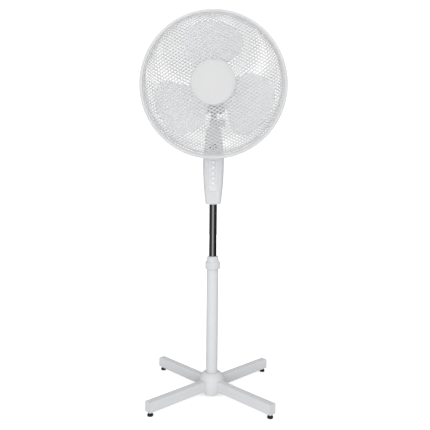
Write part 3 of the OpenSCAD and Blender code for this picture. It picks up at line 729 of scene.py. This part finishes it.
def box_shells():
    """Front and back halves of the control box."""
    front = box_half("box_front_shell", BOX_FRONT, -1)
    gap = 0.25 * MM
    opening = window("opening", PANEL_HALF + gap, PANEL_Z[0] - gap, PANEL_Z[1] + gap, 6.2 * MM, FAR_FRONT,
                     -12 * MM)
    carve(front, [opening, *box_end_cutters()])
    soften(front, 0.35 * MM, 2, 50)
    place(front, "stem", "white_plastic", "box_front")
    back = box_half("box_back_shell", BOX_REAR, 1)
    gland = middle("cable_gland")
    screws_low, screws_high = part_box("box_screws")
    screw_x = screws_high.x - 3 * MM
    screws = [(x, z) for x in (-screw_x, screw_x) for z in (screws_low.z + 3 * MM, screws_high.z - 3 * MM)]
    cuts = [*box_end_cutters(), rod("gland_hole", 5 * MM, 12 * MM, FAR_BACK, along_y(0, gland.z))]
    cuts += [rod("screw_hole", 3.4 * MM, 18 * MM, FAR_BACK, along_y(x, z), 32) for x, z in screws]
    carve(back, cuts)
    soften(back, 0.35 * MM, 2, 50)
    sleeve_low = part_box("box_back")[0].z
    shape = Shape()
    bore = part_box("inner_pole")[1].x + 0.1 * MM
    outer, sleeve_top = 16.5 * MM, BOX_LOW.z + 3 * MM
    shape.turned(rounded([(bore, sleeve_low), (outer, sleeve_low), (outer, sleeve_top), (bore, sleeve_top)],
                         1.2 * MM), along_z(), 96)
    for x, z in screws:
        seat = box_depth(z, x) / MM
        shape.turned(mm([(1.8, 17.5), (5, 17.5), (5, seat), (3.4, seat), (3.4, 18.2), (1.8, 18.2)]),
                     along_y(x, z), 32)
    trim = shape.object("box_sleeve_and_bosses")
    place(trim, "stem", "white_plastic")
    place(back, "stem", "white_plastic", "box_back")


def box_depth(z, x):
    """Depth just inside the back face, where a screw's well ends."""
    width, depth = box_edge(z, BOX_REAR)
    return depth * (1 - (abs(x) / width) ** SQUARENESS) ** (1 / SQUARENESS) - 1.6 * MM


def button_centres():
    return [middle(f"button_{k}").z for k in range(1, 6)]


def panel():
    """The long insert, a hair proud of the shell, with wells for the buttons and the lamp."""
    thick = 2.4 * MM
    columns, rows = 36, 90
    half = PANEL_HALF + 1 * MM
    front, back = [], []
    for j in range(rows + 1):
        z = PANEL_Z[0] - 1 * MM + (PANEL_Z[1] - PANEL_Z[0] + 2 * MM) * j / rows
        xs = [-half + 2 * half * i / columns for i in range(columns + 1)]
        front.append([Vector((x, box_front_y(x, z) - PANEL_PROUD, z)) for x in xs])
        back.append([Vector((x, box_front_y(x, z) + thick, z)) for x in reversed(xs)])
    ring = [f + b for f, b in zip(front, back)]
    obj = Shape().solid(ring).object("panel_insert")
    carve(obj, [window("frame", PANEL_HALF, *PANEL_Z, 6 * MM, FAR_FRONT, 0.0)], "INTERSECT")
    cuts = [rod("well", BUTTON_R + 0.35 * MM, FAR_FRONT, 0.0, along_y(0, z), 64) for z in button_centres()]
    outline = [(x, LAMP.z + h) for x, h in oval(LAMP_SIZE.x, LAMP_SIZE.z, 0.1 * MM)]
    cuts.append(punch("lamp_well", outline, FAR_FRONT, 0.0))
    carve(obj, cuts)
    soften(obj, 0.45 * MM, 3, 40)
    # The panel takes the brighter white, painted light against the guard's shadow.
    place(obj, "stem", "white_plastic", "button_panel", look=PANEL)


def buttons():
    """Five round keys with a dished face; a thin collar stands round the first."""
    for k, z in enumerate(button_centres(), 1):
        low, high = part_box(f"button_{k}")
        face = mm([(0, 1.1), (2.5, 0.9), (4.4, 0.45), (5.2, 0.1), (5.7, 0.02), (6.2, 0.25)], h=low.y)
        side = mm([(0, 0.9), (0, 8), (0.9, 8), (0.9, 9.4)], BUTTON_R, low.y)
        profile = [*face, *side, (2 * MM, low.y + 9.4 * MM), (2 * MM, high.y), (0, high.y)]
        obj = Shape().turned(profile, along_y(0, z), 64, closed=False).object(f"key_{k}")
        place(obj, f"button_{k}", "button_plastic", f"button_{k}")
    z = button_centres()[0]
    face = box_front_y(0, z) - PANEL_PROUD
    profile = rounded(mm([(7.3, 0.3), (8.5, 0.3), (8.5, -0.7), (7.3, -0.7)], h=face), 0.4 * MM)
    obj = Shape().turned(profile, along_y(0, z), 72).object("first_key_collar")
    # The collar takes the panel's brighter white, painted light against the guard's shadow.
    place(obj, "stem", "white_plastic", look=PANEL)


def lamp():
    """The oval lamp: a frosted lens crowned inside a dark rim."""
    rim = ((1.0, 1.5), (1.0, -0.7), (0.975, -1.05), (0.9, -1.15), (0.8, -0.95), (0.77, -0.2))
    lens = ((0.77, 1.0), (0.77, -0.2), (0.74, -0.5), (0.66, -0.85), (0.5, -1.15), (0.25, -1.35), (0.0, -1.4))
    outline = oval(LAMP_SIZE.x, LAMP_SIZE.z)
    pieces = (("lamp_rim", rim, BEZEL, []), ("lamp_window", lens, None, ["lamp_lens"]))
    for name, steps, look, nodes in pieces:
        rows = [[lamp_point(x * share, h * share, lift) for x, h in outline] for share, lift in steps]
        place(Shape().rows(rows, ends=True).object(name), "stem", "lens", *nodes, look=look)


def lamp_point(x, h, lift):
    """A point on the lamp, lift millimetres behind the panel's face."""
    z = LAMP.z + h
    return Vector((x, box_front_y(x, z) + lift * MM, z))


box_shells()
panel()
buttons()
lamp()
tube("chrome_tube", "inner_pole", "stem", "chrome", 1.2 * MM, 0.5 * MM, 144)


# ---------------------------------------------------------------- tilt joint and neck
def tilt_knob():
    """The clamping knob with eight soft lobes, and its stud."""
    low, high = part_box("tilt_knob")
    z = (low.z + high.z) / 2
    radius = (high.z - low.z) / 2
    inner = high.x - 18 * MM
    near = mm([(-1.5, 0), (0, 2)], radius, inner)
    far = mm([(0, -2.5), (-2, 0)], radius, high.x)
    dish = mm([(7, 0), (6, -1.2), (0, -1.2)], h=high.x)
    grip = rounded([(0, inner), *near, *far, *dish], 1.4 * MM, 4, closed=False)

    def lobes(r, _, angle):
        return r - max(0, r - 8 * MM) / (radius - 8 * MM) * 1.5 * MM * (0.5 + 0.5 * math.cos(8 * angle)) ** 2

    shape = Shape().turned(grip, along_x(0, z), 160, closed=False, wave=lobes)
    shape.turned(rounded(mm([(0, -3.5), (8, -3.5), (8, 0.5), (0, 0.5)], h=inner), 0.6 * MM, 3, closed=False),
                 along_x(0, z), 64, closed=False)
    stud = mm([(0, 0), (3.5, 0), (4, 0.6)], h=low.x)
    shape.turned([*stud, (4 * MM, inner), (0, inner)], along_x(0, z), 48, closed=False)
    obj = shape.object("tilt_knob_grip")
    place(obj, "tilt_knob", "white_plastic", "tilt_knob")


def neck_screw():
    """A domed screw head on the front of the neck."""
    low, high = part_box("swivel_screw")
    y, z = low.y, (low.z + high.z) / 2
    head = mm([(0, 0), (2, 0.15), (3.6, 0.9), (4.4, 2.0), (4.5, 2.6), (4.5, 4.4), (2, 4.5)], h=y)
    profile = [*head, (2 * MM, high.y), (0, high.y)]
    obj = Shape().turned(profile, along_y(0, z), 48, closed=False).object("neck_screw")
    long, short = 2.2 * MM, 0.4 * MM
    carve(obj, [block("cross", (-a, y - 10 * MM, z - b), (a, y + 1.5 * MM, z + b))
                for a, b in ((long, short), (short, long))])
    place(obj, "neck", "steel", "swivel_screw")


tilt_knob()
neck_screw()


# ---------------------------------------------------------------- guards
STRAND_ANGLES = (38, -25)
STRAND_PITCH = 8.8 * MM
STRAND_WIDTH = 2.3 * MM
STRAND_THICK = 1.1 * MM


class Dish:
    """A turned sheet, measured along its own profile, as a flat disc of mesh is drawn into it."""

    def __init__(self, corners):
        self.path = curve_through(corners, 10)
        self.length = [0.0]
        for a, b in zip(self.path, self.path[1:]):
            self.length.append(self.length[-1] + (b - a).length)
        self.start = self.path[0].x

    @property
    def reach(self):
        return self.start + self.length[-1]

    def at(self, s):
        """(radius, y, slope) at the distance s from the middle of the flat disc."""
        if s <= self.start:
            return s, self.path[0].y, Vector((1, 0))
        s = min(s - self.start, self.length[-1] - 1e-9)
        i = max(k for k, value in enumerate(self.length) if value <= s)
        a, b = self.path[i], self.path[i + 1]
        t = (s - self.length[i]) / (self.length[i + 1] - self.length[i])
        point = a + (b - a) * t
        return point.x, point.y, (b - a).normalized()

    def point(self, u, v):
        """Place and normal of the flat disc's point (u, v)."""
        s = math.hypot(u, v)
        radius, y, slope = self.at(s)
        c, d = (u / s, v / s) if s > 1e-9 else (1.0, 0.0)
        place_at = Vector((c * radius, y, HUB_Z + d * radius))
        return place_at, Vector((-slope.y * c, slope.x, -slope.y * d)).normalized()


def lattice(shape, dish, hole):
    """Two crossing families of strands over the dish, outside a round hole."""
    step = 5 * MM
    for family, angle in enumerate(STRAND_ANGLES):
        turn = math.radians(angle)
        run = (math.cos(turn), math.sin(turn))
        across = (-run[1], run[0])
        lines = int(dish.reach / STRAND_PITCH)
        for k in range(-lines, lines + 1):
            offset = (k + 0.5 * family) * STRAND_PITCH
            if abs(offset) >= dish.reach:
                continue
            half = math.sqrt(dish.reach ** 2 - offset ** 2)
            spans = [(-half, half)]
            if abs(offset) < hole:
                gap = math.sqrt(hole ** 2 - offset ** 2)
                spans = [(-half, -gap), (gap, half)]
            for begin, end in spans:
                count = max(2, round((end - begin) / step))
                points, normals = [], []
                for i in range(count + 1):
                    t = begin + (end - begin) * i / count
                    spot, normal = dish.point(*(offset * across[axis] + t * run[axis] for axis in (0, 1)))
                    points.append(spot + normal * (0.15 * MM * family))
                    normals.append(normal)
                shape.strand(points, normals, STRAND_WIDTH, STRAND_THICK)


def flat_ring(shape, inner, outer, front, back, radius, segments):
    """A flat hoop round the fan's axis, which the strands end in."""
    corners = [(inner, front), (outer, front), (outer, back), (inner, back)]
    shape.turned(rounded(corners, radius, 2), along_y(), segments)


def guard(node, inset, start, depth, profile, hole, *hoops):
    """Diamond mesh on a dish from y = start, with flat hoops round its middle and its rim."""
    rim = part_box(node)[1].x - inset
    shape = Shape()
    lattice(shape, Dish([(rim * r, start + depth * d) for r, d in profile]), hole)
    for hoop in hoops:
        flat_ring(shape, *hoop)
    place(shape.object(f"{node}_mesh", 1e-7), "head", "guard_mesh", node)


def guards():
    """The rear guard's middle is at the back, the front guard's at the front."""
    low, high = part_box("rear_guard")
    shoulder = [(0.088, 1), (0.265, 0.99), (0.35, 0.94), (0.56, 0.84), (0.77, 0.68), (0.885, 0.49),
                (0.952, 0.26), (0.975, 0.05), (1.0, 0.0)]
    guard("rear_guard", 6 * MM, low.y, high.y - low.y, shoulder, 36 * MM,
          (20 * MM, 39 * MM, high.y - 0.7 * MM, high.y + 0.4 * MM, 0.3 * MM, 96),
          (high.x - 9 * MM, high.x, low.y + 0.1 * MM, low.y + 1.2 * MM, 0.3 * MM, 180))
    low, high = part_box("front_guard")
    face = [(0.30, 1), (0.48, 0.955), (0.72, 0.82), (0.865, 0.67), (0.945, 0.46), (0.978, 0.2),
            (0.985, 0.03), (1.02, 0.0)]
    badge_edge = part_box("badge")[1].x + 1.5 * MM
    guard("front_guard", 8 * MM, high.y, low.y - high.y, face, 56 * MM,
          (52 * MM, badge_edge, low.y - 0.2 * MM, low.y + 1.2 * MM, 0.4 * MM, 144),
          (high.x - 9 * MM, high.x, high.y - 1.1 * MM, high.y, 0.3 * MM, 180))


def ring():
    """The rim that clamps both guards: a channel with rolled lips."""
    y0, y1 = RING_LOW.y, RING_HIGH.y
    r = RING_R
    profile = rounded(mm([(-9, 0), (-2, 0), (0, 2.5)], r, y0)
                      + mm([(0, -2.5), (-2, 0), (-7, 0), (-7, -2.8), (-3, -3)], r, y1)
                      + mm([(-3, 3), (-9, 2.8)], r, y0), 2.2 * MM, 5)
    shape = Shape().turned(profile, along_y(), 288)
    obj = shape.object("guard_rim")
    place(obj, "head", "white_plastic", "guard_ring")


def badge():
    """The plain round badge: a shallow dome with a lip and a turned-down edge."""
    low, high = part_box("badge")
    r = high.x
    y = low.y
    profile = [(0, y)] + [(r * s, y + 1.5 * MM * s ** 2.5) for s in (0.15, 0.3, 0.45, 0.6, 0.72, 0.82, 0.88)]
    profile += [(r * 0.9, y + 1.55 * MM), (r * 0.91, y + 1.75 * MM), (r * 0.925, y + 1.75 * MM),
                (r * 0.935, y + 1.45 * MM), (r * 0.96, y + 1.5 * MM), (r * 0.985, y + 2.0 * MM),
                (r, y + 3.2 * MM), (r, high.y), (0, high.y)]
    obj = Shape().turned(profile, along_y(), 192, closed=False).object("badge_disc")
    place(obj, "head", "badge", "badge", sharp=50)


guards()
ring()
badge()


# ---------------------------------------------------------------- rotor
# Radius in millimetres against the angle, in degrees, of the blade's two edges when it stands upright
BLADE_RIGHT = [(34, 48), (55, 56), (79, 59), (100, 57), (120, 54.4), (140, 53.2), (155, 54.6), (166, 57.7),
               (175, 63.3), (182, 69.7), (187, 80)]
BLADE_LEFT = [(34, 140), (55, 139), (85, 137.5), (100, 138.5), (112, 138), (130, 132), (150, 126.5),
              (168, 121.5), (180, 117.5), (187, 106)]
BLADE_PITCH = [(34, 21), (90, 18), (150, 16), (187, 14)]
BLADE_ROOT, BLADE_TIP = 34, 187
BLADE_Y, HUB_FRONT, HUB_BACK = -116 * MM, -128 * MM, -88 * MM


def blade(shape, turn):
    """One twisted, cambered petal, thick in the middle and thin at its edges."""
    thick = 2.6 * MM
    camber = 5 * MM
    radii = [BLADE_ROOT + (BLADE_TIP - BLADE_ROOT) * (1 - (1 - k / 30) ** 1.7) for k in range(31)]
    columns = 26
    c, s = math.cos(turn), math.sin(turn)
    front, back = [], []
    for radius in radii:
        start = math.radians(spline(BLADE_RIGHT, radius))
        end = math.radians(spline(BLADE_LEFT, radius))
        pitch = math.tan(math.radians(spline(BLADE_PITCH, radius)))
        tip = min(1.0, (BLADE_TIP - radius) / 6)
        upper, lower = [], []
        for j in range(columns + 1):
            u = j / columns
            angle = start + (end - start) * u
            x, z = radius * MM * math.cos(angle), radius * MM * math.sin(angle)
            y = BLADE_Y + x * pitch - camber * (1 - (2 * u - 1) ** 2) + camber * 0.4
            edge = max(0.0, 1 - (2 * u - 1) ** 8) ** 0.5 * tip ** 0.5
            half = thick / 2 * edge
            upper.append(Vector((x * c - z * s, y - half, HUB_Z + x * s + z * c)))
            lower.append(Vector((x * c - z * s, y + half, HUB_Z + x * s + z * c)))
        front.append(upper)
        back.append(lower)
    shape.rows(front)
    shape.rows([list(reversed(row)) for row in back])


def rotor():
    """The blade moulding: hub cap, ribs and three blades."""
    shape = Shape()
    for k in range(3):
        blade(shape, math.radians(120 * k))
    hub = (mm([(4, 2), (30, 0), (38, 6)], h=HUB_FRONT) + mm([(38, 0), (35.4, 0)], h=HUB_BACK)
           + mm([(35.4, 8), (28, 3), (9, 4)], h=HUB_FRONT) + mm([(9, -4), (4, -4)], h=HUB_BACK))
    shape.turned(rounded(hub, 1.6 * MM, 4), along_y(), 120)
    for k in range(6):
        angle = math.radians(60 * k)
        c, s = math.cos(angle), math.sin(angle)
        corners = [[], []]
        for row, side in zip(corners, (-0.8 * MM, 0.8 * MM)):
            for radius, y in mm([(8, 3.5), (36, 7)], h=HUB_FRONT) + mm([(36, -8), (8, -8)], h=HUB_BACK):
                row.append(Vector((radius * c - side * s, y, HUB_Z + radius * s + side * c)))
        shape.solid(corners)
    obj = shape.object("rotor_moulding")
    place(obj, "rotor", "blade_plastic", "fan_blade")


rotor()


# ---------------------------------------------------------------- motor housing
HOUSING_LOW, HOUSING_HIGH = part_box("housing_rear")


def housing_radius(y, angle):
    """Distance from the axis to the housing's skin: a round body that drops to a flat foot."""
    front, back = HOUSING_LOW.y, HOUSING_HIGH.y
    share = (y - front) / (back - front)
    body = spline([(0, 61.8), (0.35, 61.8), (0.6, 59.5), (0.78, 55.5), (0.88, 50.5), (0.95, 44), (0.985, 38),
                   (1.0, 32)], share) * MM
    down = HUB_Z - HOUSING_LOW.z
    c, s = math.cos(angle), math.sin(angle)
    foot_front, foot_back = -34 * MM, 50 * MM
    rise = min(1.0, max(0.0, (y - foot_front) / (12 * MM)))
    drop = min(1.0, max(0.0, (y - foot_back) / (back - foot_back)))
    fade = rise * rise * (3 - 2 * rise) * math.sqrt(1 - drop * drop)
    if s >= -0.2:
        return body
    half = 36 * MM
    blend = 10 * MM
    limit = down / -s
    gap = min(limit, half / abs(c) if abs(c) > 1e-6 else 1.0) - body
    joined = body + 0.5 * (gap + math.sqrt(gap * gap + blend * blend)) - 0.125 * blend
    return body + (max(min(joined, limit), body) - body) * fade


def swivel_cutter():
    """The opening under the shell: round the neck, and wider where the neck's arm swings."""
    at = along_z()
    rows = [[at((22.5 if abs(degrees) < 64 else 12.5) * MM, z, math.radians(degrees))
             for degrees in range(-180, 180, 3)]
            for z in (HOUSING_LOW.z - 10 * MM, HOUSING_LOW.z + 8 * MM)]
    return Shape().solid(rows).object("swivel_hole")


def housing():
    """The motor's rear shell with its vents, and a hole below for the swivel."""
    front, back = HOUSING_LOW.y, HOUSING_HIGH.y
    shares = [k / 44 * 0.86 for k in range(45)]
    shares += [0.86 + 0.14 * math.sin(math.radians(6 * k)) for k in range(1, 16)]
    columns = 144
    angles = [math.radians(360 / columns * k) for k in range(columns)]
    rows = []
    for share in shares:
        y = front + (back - front) * share
        rows.append([along_y()(housing_radius(y, angle), y, angle) for angle in angles])
    last = rows[-1]
    for shrink in (0.97, 0.6):
        rows.append([Vector((p.x * shrink, back, HUB_Z + (p.z - HUB_Z) * shrink)) for p in last])
    shape = Shape().rows(rows, ends=True)
    top = (len(rows) - 1) * columns
    shape.faces.append(tuple(top + k for k in range(columns)))
    obj = shape.object("housing_shell")
    wall = obj.modifiers.new("wall", "SOLIDIFY")
    wall.thickness = 2.4 * MM
    wall.offset = -1
    settle(obj)
    knob = middle("oscillation_knob")
    cuts = [swivel_cutter(),
            rod("knob_hole", 4.6 * MM, HUB_Z + 30 * MM, HUB_Z + 80 * MM, along_z(knob.x, knob.y), 32)]
    vent_pitch, vent_half = 8 * MM, 1.4 * MM
    for k in range(-3, 4):
        tall = 22 * MM - abs(k) * 2.2 * MM
        cuts.append(block("vent", (k * vent_pitch - vent_half, back - 14 * MM, HUB_Z - tall),
                          (k * vent_pitch + vent_half, back + 10 * MM, HUB_Z + tall)))
    carve(obj, cuts)
    soften(obj, 0.4 * MM, 2, 50)
    place(obj, "head", "white_plastic", "housing_rear", sharp=45)


def oscillation_knob():
    """The pull knob on top: a slim stem and a ribbed cap."""
    low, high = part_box("oscillation_knob")
    x, y = (low.x + high.x) / 2, (low.y + high.y) / 2
    cap = high.z - 12 * MM
    profile = rounded(mm([(0, 0), (2, 0), (2, 17), (4, 18)], h=low.z)
                      + mm([(4, 0), (8.4, 0), (9, 1.5)], h=cap)
                      + mm([(9, -2.5), (7.5, 0), (0, 0)], h=high.z), 0.8 * MM, 3, closed=False)

    def ribs(r, h, angle):
        return r - 0.5 * MM * (0.5 + 0.5 * math.cos(16 * angle)) if r > 8.5 * MM and h > cap + 1 * MM else r

    obj = Shape().turned(profile, along_z(x, y), 128, closed=False, wave=ribs).object("oscillation_pull")
    place(obj, "oscillation_knob", "white_plastic", "oscillation_knob")


housing()
oscillation_knob()


# ---------------------------------------------------------------- floor and light
def floor():
    """A plain pale floor; the emission, for the camera alone, joins it to the room's white."""
    ends = (-60, 60)
    obj = Shape().rows([[Vector((x, y, 0)) for x in ends] for y in ends]).object("floor")
    f = Finish("floor_white", 0.9, Specular_IOR_Level=0.0)
    f.color(f.mixed(f.noise(2, 2), (0.85, 0.85, 0.855), (0.87, 0.87, 0.875)))
    path = f.nodes.new("ShaderNodeLightPath")
    f.links.new(f.spread(path.outputs["Is Camera Ray"], 0, 0.55), f.shader.inputs["Emission Strength"])
    obj.data.materials.append(f.material)
    obj.visible_glossy = False


# How bright the room is where the camera looks straight at it
BACKDROP = 1.35


def studio():
    """A white room that gives soft light all round; what shines sees a bright front and dark sides."""
    world = bpy.data.worlds.new("studio")
    world.use_nodes = True
    tree = world.node_tree
    nodes, links = tree.nodes, tree.links
    background = nodes["Background"]
    path = nodes.new("ShaderNodeLightPath")
    direction = nodes.new("ShaderNodeTexCoord")
    split = nodes.new("ShaderNodeSeparateXYZ")
    links.new(direction.outputs["Generated"], split.inputs["Vector"])

    def stops(axis, points):
        """A grey level along one axis of the direction, from -1 at 0 to 1 at 1."""
        spread = nodes.new("ShaderNodeMapRange")
        spread.inputs["From Min"].default_value = -1.0
        links.new(split.outputs[axis], spread.inputs["Value"])
        ramp = nodes.new("ShaderNodeValToRGB")
        links.new(spread.outputs["Result"], ramp.inputs["Fac"])
        elements = ramp.color_ramp.elements
        while len(elements) < len(points):
            elements.new(0.5)
        for element, (at, level) in zip(elements, points):
            element.position = at
            element.color = (level, level, level, 1)
        return ramp.outputs["Color"]

    def product(first, second):
        return mix(tree, 1.0, first, second, "MULTIPLY")

    sides = stops(
        "X", [(0.0, 0.07), (0.12, 0.06), (0.3, 0.28), (0.44, 0.7), (0.5, 1.0), (0.6, 0.5), (0.74, 0.12),
              (0.88, 0.03), (1.0, 0.05)])
    front = stops("Y", [(0.0, 1.0), (0.45, 1.0), (0.6, 0.1), (1.0, 0.02)])
    upward = stops("Z", [(0.0, 0.85), (0.5, 1.0), (1.0, 1.0)])
    across = stops("X", [(0.0, 0.6), (0.12, 1.1), (0.5, 1.0), (0.88, 1.1), (1.0, 0.5)])
    behind = stops("Y", [(0.0, 1.2), (0.4, 1.05), (0.6, 0.8), (1.0, 0.7)])
    soft = product(product(upward, across), behind)
    shining = mix(tree, path.outputs["Is Glossy Ray"], soft, product(sides, front))
    seen = mix(tree, path.outputs["Is Camera Ray"], shining, (BACKDROP, BACKDROP, BACKDROP))
    links.new(seen, background.inputs["Color"])
    background.inputs["Strength"].default_value = 0.805
    bpy.context.scene.world = world


def lamp_light(name, place_at, target, size, power, gloss):
    data = bpy.data.lights.new(name, "AREA")
    data.size = size
    data.energy = power
    obj = bpy.data.objects.new(name, data)
    direction = Vector(target) - Vector(place_at)
    obj.location = place_at
    obj.rotation_euler = direction.to_track_quat("-Z", "Y").to_euler()
    obj.visible_glossy = gloss
    COLLECTION.objects.link(obj)


floor()
studio()
lamp_light("key", (-0.2, -3.6, 0.45), (0, 0, 0.6), 1.4, 45, False)
lamp_light("top", (0.2, 0.4, 3.6), (0, 0, 0.2), 2.6, 16, False)
lamp_light("back", (0.4, 3.6, 0.9), (0, 0, 0.8), 2.0, 24, False)
bpy.context.scene.view_settings.view_transform = "Standard"
